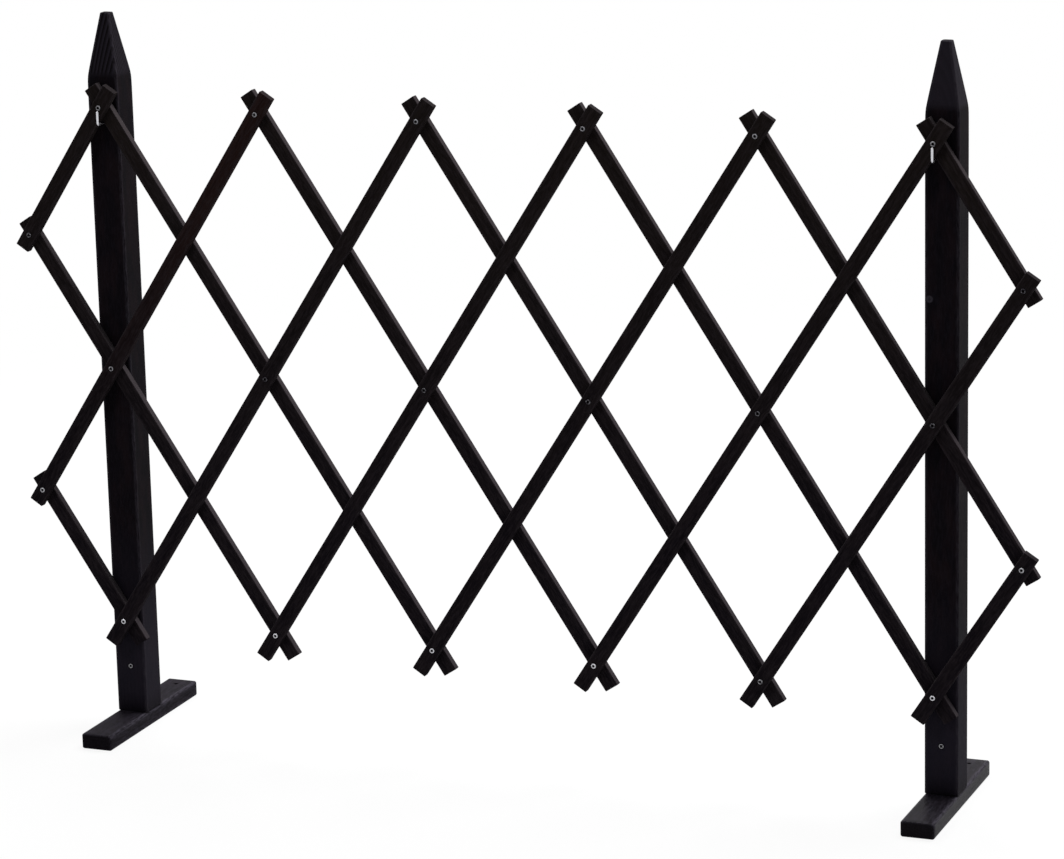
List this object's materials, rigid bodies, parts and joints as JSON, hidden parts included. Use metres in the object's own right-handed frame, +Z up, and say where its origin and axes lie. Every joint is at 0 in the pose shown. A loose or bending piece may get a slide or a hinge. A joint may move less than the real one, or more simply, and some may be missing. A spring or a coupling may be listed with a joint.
{
  "type": "folding trellis",
  "caption": "Free-standing expanding lattice of stained wooden slats, riveted together and hung by hooks on footed posts with tapered tops.",
  "frame": {"origin": "on the ground, midway between the posts and in the middle of the feet", "axes": "+X along the lattice to the right as seen from the front, +Y to the back, +Z up; the lattice hangs in front of the posts, on their -Y side"},
  "size_m": [1.434, 0.268, 1.0019],
  "materials": {
    "post_wood": "dark brown-black stain, satin",
    "foot_wood": "dark brown-black stain, satin",
    "slat_wood": "dark brown-black stain, satin",
    "zinc": "zinc plated, satin",
    "screw_steel": "bright zinc plated"
  },
  "bodies": {
    "left_post": {"left_post": "post_wood", "left_foot": "foot_wood", "left_hook": "zinc", "left_front_screw": "screw_steel", "left_foot_screw_front": "screw_steel", "left_foot_screw_rear": "screw_steel"},
    "left_hanger": {"rivet_top_1": "zinc"},
    "back_slat_1": {"back_slat_1": "slat_wood"},
    "back_slat_2": {"back_slat_2": "slat_wood"},
    "back_slat_3": {"back_slat_3": "slat_wood"},
    "back_slat_4": {"back_slat_4": "slat_wood"},
    "back_slat_5": {"back_slat_5": "slat_wood"},
    "back_slat_6": {"back_slat_6": "slat_wood"},
    "back_slat_7": {"back_slat_7": "slat_wood"},
    "back_slat_8": {"back_slat_8": "slat_wood"},
    "front_slat_1": {"front_slat_1": "slat_wood", "rivet_upper_1": "zinc"},
    "front_slat_2": {"front_slat_2": "slat_wood", "rivet_top_2": "zinc", "rivet_middle_1": "zinc", "rivet_lower_1": "zinc"},
    "front_slat_3": {"front_slat_3": "slat_wood", "rivet_top_3": "zinc", "rivet_middle_2": "zinc", "rivet_bottom_1": "zinc"},
    "front_slat_4": {"front_slat_4": "slat_wood", "rivet_top_4": "zinc", "rivet_middle_3": "zinc", "rivet_bottom_2": "zinc"},
    "front_slat_5": {"front_slat_5": "slat_wood", "rivet_top_5": "zinc", "rivet_middle_4": "zinc", "rivet_bottom_3": "zinc"},
    "front_slat_6": {"front_slat_6": "slat_wood", "rivet_middle_5": "zinc", "rivet_bottom_4": "zinc"},
    "front_slat_7": {"front_slat_7": "slat_wood", "rivet_upper_2": "zinc", "rivet_middle_6": "zinc", "rivet_bottom_5": "zinc"},
    "front_slat_8": {"front_slat_8": "slat_wood", "rivet_lower_2": "zinc", "rivet_bottom_6": "zinc"},
    "right_hanger": {"rivet_top_6": "zinc"},
    "right_post": {"right_post": "post_wood", "right_foot": "foot_wood", "right_hook": "zinc", "right_front_screw": "screw_steel", "right_foot_screw_front": "screw_steel", "right_foot_screw_rear": "screw_steel"}
  },
  "joints": [
    {"name": "left_hang_rise", "type": "slide", "parent": "left_post", "child": "left_hanger", "axis": [0, 0, 1], "range_m": [0, 0.04263]},
    {"name": "fold", "type": "hinge", "parent": "left_hanger", "child": "back_slat_3", "pos_m": [-0.5804, -0.03535, 0.879], "axis": [0, 1, 0], "range_deg": [0, 22]},
    {"name": "front_slat_1_turn", "type": "hinge", "parent": "left_hanger", "child": "front_slat_1", "pos_m": [-0.5804, -0.03535, 0.879], "axis": [0, 1, 0], "range_deg": [-22, 0]},
    {"name": "front_slat_3_turn", "type": "hinge", "parent": "back_slat_3", "child": "front_slat_3", "pos_m": [-0.34824, -0.03535, 0.51945], "axis": [0, 1, 0], "range_deg": [-44, 0]},
    {"name": "front_slat_5_turn", "type": "hinge", "parent": "back_slat_3", "child": "front_slat_5", "pos_m": [-0.11608, -0.03535, 0.1599], "axis": [0, 1, 0], "range_deg": [-44, 0]},
    {"name": "back_slat_1_turn", "type": "hinge", "parent": "front_slat_3", "child": "back_slat_1", "pos_m": [-0.5804, -0.03535, 0.1599], "axis": [0, 1, 0], "range_deg": [0, 44]},
    {"name": "back_slat_5_turn", "type": "hinge", "parent": "front_slat_5", "child": "back_slat_5", "pos_m": [0.11608, -0.03535, 0.51945], "axis": [0, 1, 0], "range_deg": [0, 44]},
    {"name": "back_slat_7_turn", "type": "hinge", "parent": "front_slat_5", "child": "back_slat_7", "pos_m": [0.34824, -0.03535, 0.879], "axis": [0, 1, 0], "range_deg": [0, 44]},
    {"name": "front_slat_7_turn", "type": "hinge", "parent": "back_slat_7", "child": "front_slat_7", "pos_m": [0.5804, -0.03535, 0.51945], "axis": [0, 1, 0], "range_deg": [-44, 0]},
    {"name": "front_slat_8_turn", "type": "hinge", "parent": "back_slat_7", "child": "front_slat_8", "pos_m": [0.69648, -0.03535, 0.33968], "axis": [0, 1, 0], "range_deg": [-44, 0]},
    {"name": "back_slat_8_turn", "type": "hinge", "parent": "front_slat_7", "child": "back_slat_8", "pos_m": [0.69648, -0.03535, 0.69923], "axis": [0, 1, 0], "range_deg": [0, 44]},
    {"name": "front_slat_6_turn", "type": "hinge", "parent": "back_slat_8", "child": "front_slat_6", "pos_m": [0.5804, -0.03535, 0.879], "axis": [0, 1, 0], "range_deg": [-44, 0]},
    {"name": "back_slat_6_turn", "type": "hinge", "parent": "front_slat_6", "child": "back_slat_6", "pos_m": [0.34824, -0.03535, 0.51945], "axis": [0, 1, 0], "range_deg": [0, 44]},
    {"name": "back_slat_2_turn", "type": "hinge", "parent": "front_slat_1", "child": "back_slat_2", "pos_m": [-0.69648, -0.03535, 0.69923], "axis": [0, 1, 0], "range_deg": [0, 44]},
    {"name": "front_slat_2_turn", "type": "hinge", "parent": "back_slat_2", "child": "front_slat_2", "pos_m": [-0.5804, -0.03535, 0.51945], "axis": [0, 1, 0], "range_deg": [-44, 0]},
    {"name": "front_slat_4_turn", "type": "hinge", "parent": "back_slat_2", "child": "front_slat_4", "pos_m": [-0.34824, -0.03535, 0.1599], "axis": [0, 1, 0], "range_deg": [-44, 0]},
    {"name": "back_slat_4_turn", "type": "hinge", "parent": "front_slat_4", "child": "back_slat_4", "pos_m": [-0.11608, -0.03535, 0.51945], "axis": [0, 1, 0], "range_deg": [0, 44]},
    {"name": "right_hanger_turn", "type": "hinge", "parent": "back_slat_8", "child": "right_hanger", "pos_m": [0.5804, -0.03535, 0.879], "axis": [0, 1, 0], "range_deg": [-22, 0]},
    {"name": "right_hang_rise", "type": "slide", "parent": "right_hanger", "child": "right_post", "axis": [0, 0, 1], "range_m": [-0.04263, 0]}
  ],
  "couplings": [
    {"joint": "left_hang_rise", "follows": "fold", "m_per_rad": 0.111},
    {"joint": "front_slat_1_turn", "follows": "fold", "ratio": -1},
    {"joint": "front_slat_3_turn", "follows": "fold", "ratio": -2},
    {"joint": "front_slat_5_turn", "follows": "fold", "ratio": -2},
    {"joint": "back_slat_1_turn", "follows": "fold", "ratio": 2},
    {"joint": "back_slat_5_turn", "follows": "fold", "ratio": 2},
    {"joint": "back_slat_7_turn", "follows": "fold", "ratio": 2},
    {"joint": "front_slat_7_turn", "follows": "fold", "ratio": -2},
    {"joint": "front_slat_8_turn", "follows": "fold", "ratio": -2},
    {"joint": "back_slat_8_turn", "follows": "fold", "ratio": 2},
    {"joint": "front_slat_6_turn", "follows": "fold", "ratio": -2},
    {"joint": "back_slat_6_turn", "follows": "fold", "ratio": 2},
    {"joint": "back_slat_2_turn", "follows": "fold", "ratio": 2},
    {"joint": "front_slat_2_turn", "follows": "fold", "ratio": -2},
    {"joint": "front_slat_4_turn", "follows": "fold", "ratio": -2},
    {"joint": "back_slat_4_turn", "follows": "fold", "ratio": 2},
    {"joint": "right_hanger_turn", "follows": "fold", "ratio": -1},
    {"joint": "right_hang_rise", "follows": "fold", "m_per_rad": -0.111}
  ]
}
